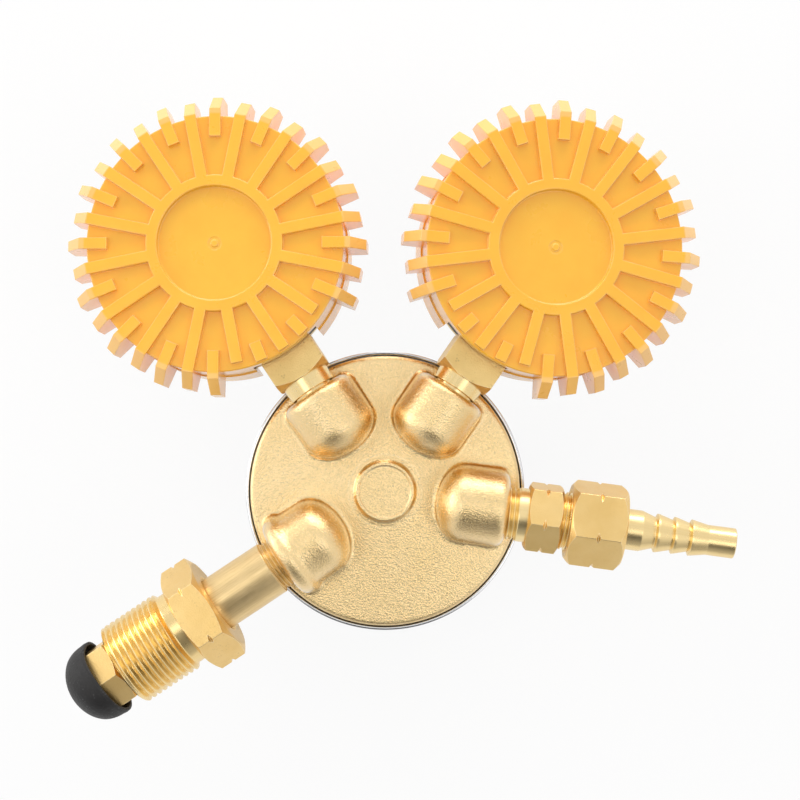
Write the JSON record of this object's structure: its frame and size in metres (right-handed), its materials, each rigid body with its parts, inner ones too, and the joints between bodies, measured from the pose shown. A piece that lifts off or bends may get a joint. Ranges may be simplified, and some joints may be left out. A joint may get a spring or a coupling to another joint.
{
  "type": "two-gauge gas pressure regulator",
  "caption": "Brass gas pressure regulator with twin gauges in yellow ribbed covers, captive-nut inlet with rubber cap, hose barb outlet and adjusting knob.",
  "frame": {"origin": "centre of the adjusting knob's flat front face, which the regulator stands on", "axes": "+Z along the adjusting screw from the knob to the back of the body, +Y towards the side with the two gauges, +X towards the hose barb"},
  "size_m": [0.1937, 0.1789, 0.1009],
  "materials": {
    "blasted_brass": "forged, shot-blasted",
    "turned_brass": "machined, bright",
    "plated_ring": "bright plated",
    "knob_plastic": "moulded, fine grain",
    "steel": "turned",
    "gauge_steel": "black enamel",
    "spring_steel": "drawn wire",
    "sintered_bronze": "sintered grains",
    "bronze_tube": "drawn, bright",
    "rubber": "moulded, matte",
    "cover_plastic": "moulded, semi-gloss",
    "clear_lens": "clear",
    "dial_white": "matte white",
    "pointer_black": "matte black"
  },
  "bodies": {
    "housing": {"body": "blasted_brass", "bonnet": "plated_ring", "slip_ring": "steel", "diaphragm": "rubber", "seat_nozzle": "turned_brass", "valve_spring": "spring_steel", "inlet_nipple": "turned_brass", "inlet_filter": "sintered_bronze", "inlet_seal": "rubber", "outlet_adaptor": "turned_brass", "left_gauge_cover": "cover_plastic", "left_gauge_case": "gauge_steel", "left_gauge_bezel": "turned_brass", "left_gauge_lens": "clear_lens", "left_gauge_dial": "dial_white", "left_gauge_stem": "turned_brass", "left_gauge_movement_frame": "turned_brass", "right_gauge_cover": "cover_plastic", "right_gauge_case": "gauge_steel", "right_gauge_bezel": "turned_brass", "right_gauge_lens": "clear_lens", "right_gauge_dial": "dial_white", "right_gauge_stem": "turned_brass", "right_gauge_movement_frame": "turned_brass"},
    "spring_seat": {"spring_button": "steel"},
    "knob": {"adjusting_knob": "knob_plastic", "adjusting_screw": "steel"},
    "diaphragm_group": {"diaphragm_plate": "steel", "main_spring": "spring_steel", "valve_poppet": "steel"},
    "inlet_nut": {"inlet_nut": "turned_brass"},
    "inlet_cap": {"inlet_cap": "rubber"},
    "hose_barb": {"hose_barb": "turned_brass"},
    "outlet_nut": {"outlet_nut": "turned_brass"},
    "left_pointer": {"left_gauge_pointer": "pointer_black", "left_gauge_pinion": "turned_brass"},
    "left_sector": {"left_gauge_sector_gear": "turned_brass"},
    "left_link": {"left_gauge_link": "turned_brass"},
    "left_tube": {"left_gauge_bourdon_tube": "bronze_tube"},
    "right_pointer": {"right_gauge_pointer": "pointer_black", "right_gauge_pinion": "turned_brass"},
    "right_sector": {"right_gauge_sector_gear": "turned_brass"},
    "right_link": {"right_gauge_link": "turned_brass"},
    "right_tube": {"right_gauge_bourdon_tube": "bronze_tube"}
  },
  "joints": [
    {"name": "screw_travel", "type": "slide", "parent": "housing", "child": "spring_seat", "axis": [0, 0, 1], "range_m": [0, 0.0075], "deforming": ["main_spring"]},
    {"name": "knob_turn", "type": "hinge", "parent": "spring_seat", "child": "knob", "pos_m": [0, 0, 0.03], "axis": [0, 0, 1], "range_deg": [0, 2160]},
    {"name": "diaphragm_lift", "type": "slide", "parent": "housing", "child": "diaphragm_group", "axis": [0, 0, 1], "range_m": [0, 0.0008], "stiffness_N_per_m": 2000, "deforming": ["diaphragm", "valve_spring"]},
    {"name": "inlet_nut_turn", "type": "hinge", "parent": "housing", "child": "inlet_nut", "pos_m": [-0.05832, -0.03872, 0.086], "axis": [-0.8339, -0.5519, 0], "continuous": true},
    {"name": "inlet_cap_pull", "type": "slide", "parent": "housing", "child": "inlet_cap", "axis": [-0.8339, -0.5519, 0], "range_m": [0, 0.025]},
    {"name": "barb_travel", "type": "slide", "parent": "housing", "child": "hose_barb", "axis": [0.991, -0.134, 0], "range_m": [0, 0.006]},
    {"name": "outlet_nut_turn", "type": "hinge", "parent": "hose_barb", "child": "outlet_nut", "pos_m": [0.05932, -0.00908, 0.086], "axis": [0.991, -0.134, 0], "range_deg": [-1620, 0]},
    {"name": "left_pointer_turn", "type": "hinge", "parent": "housing", "child": "left_pointer", "pos_m": [-0.04761, 0.07035, 0.08212], "axis": [-0.0432, 0.0655, 0.9969], "range_deg": [0, 270]},
    {"name": "left_sector_turn", "type": "hinge", "parent": "housing", "child": "left_sector", "pos_m": [-0.05569, 0.08257, 0.08096], "axis": [-0.0432, 0.0655, 0.9969], "range_deg": [-45.1, 0]},
    {"name": "left_link_turn", "type": "hinge", "parent": "left_sector", "child": "left_link", "pos_m": [-0.05982, 0.08536, 0.0806], "axis": [-0.0432, 0.0655, 0.9969], "range_deg": [0, 37.4]},
    {"name": "left_tube_flex", "type": "hinge", "parent": "housing", "child": "left_tube", "pos_m": [-0.04118, 0.04729, 0.08391], "axis": [-0.0432, 0.0655, 0.9969], "range_deg": [-4.6, 0]},
    {"name": "right_pointer_turn", "type": "hinge", "parent": "housing", "child": "right_pointer", "pos_m": [0.04734, 0.06968, 0.08217], "axis": [0.0947, 0.03, 0.9951], "range_deg": [0, 270]},
    {"name": "right_sector_turn", "type": "hinge", "parent": "housing", "child": "right_sector", "pos_m": [0.05564, 0.08176, 0.08102], "axis": [0.0947, 0.03, 0.9951], "range_deg": [-45.1, 0]},
    {"name": "right_link_turn", "type": "hinge", "parent": "right_sector", "child": "right_link", "pos_m": [0.05668, 0.08664, 0.08077], "axis": [0.0947, 0.03, 0.9951], "range_deg": [0, 37.4]},
    {"name": "right_tube_flex", "type": "hinge", "parent": "housing", "child": "right_tube", "pos_m": [0.02842, 0.05508, 0.08441], "axis": [0.0947, 0.03, 0.9951], "range_deg": [-4.6, 0]}
  ],
  "couplings": [
    {"joint": "knob_turn", "follows": "screw_travel", "rad_per_m": 5026.5},
    {"joint": "outlet_nut_turn", "follows": "barb_travel", "rad_per_m": -4699.4},
    {"joint": "left_sector_turn", "follows": "left_pointer_turn", "ratio": -0.16667},
    {"joint": "left_link_turn", "follows": "left_pointer_turn", "ratio": 0.138},
    {"joint": "left_tube_flex", "follows": "left_pointer_turn", "ratio": -0.017},
    {"joint": "right_sector_turn", "follows": "right_pointer_turn", "ratio": -0.16667},
    {"joint": "right_link_turn", "follows": "right_pointer_turn", "ratio": 0.138},
    {"joint": "right_tube_flex", "follows": "right_pointer_turn", "ratio": -0.017}
  ]
}
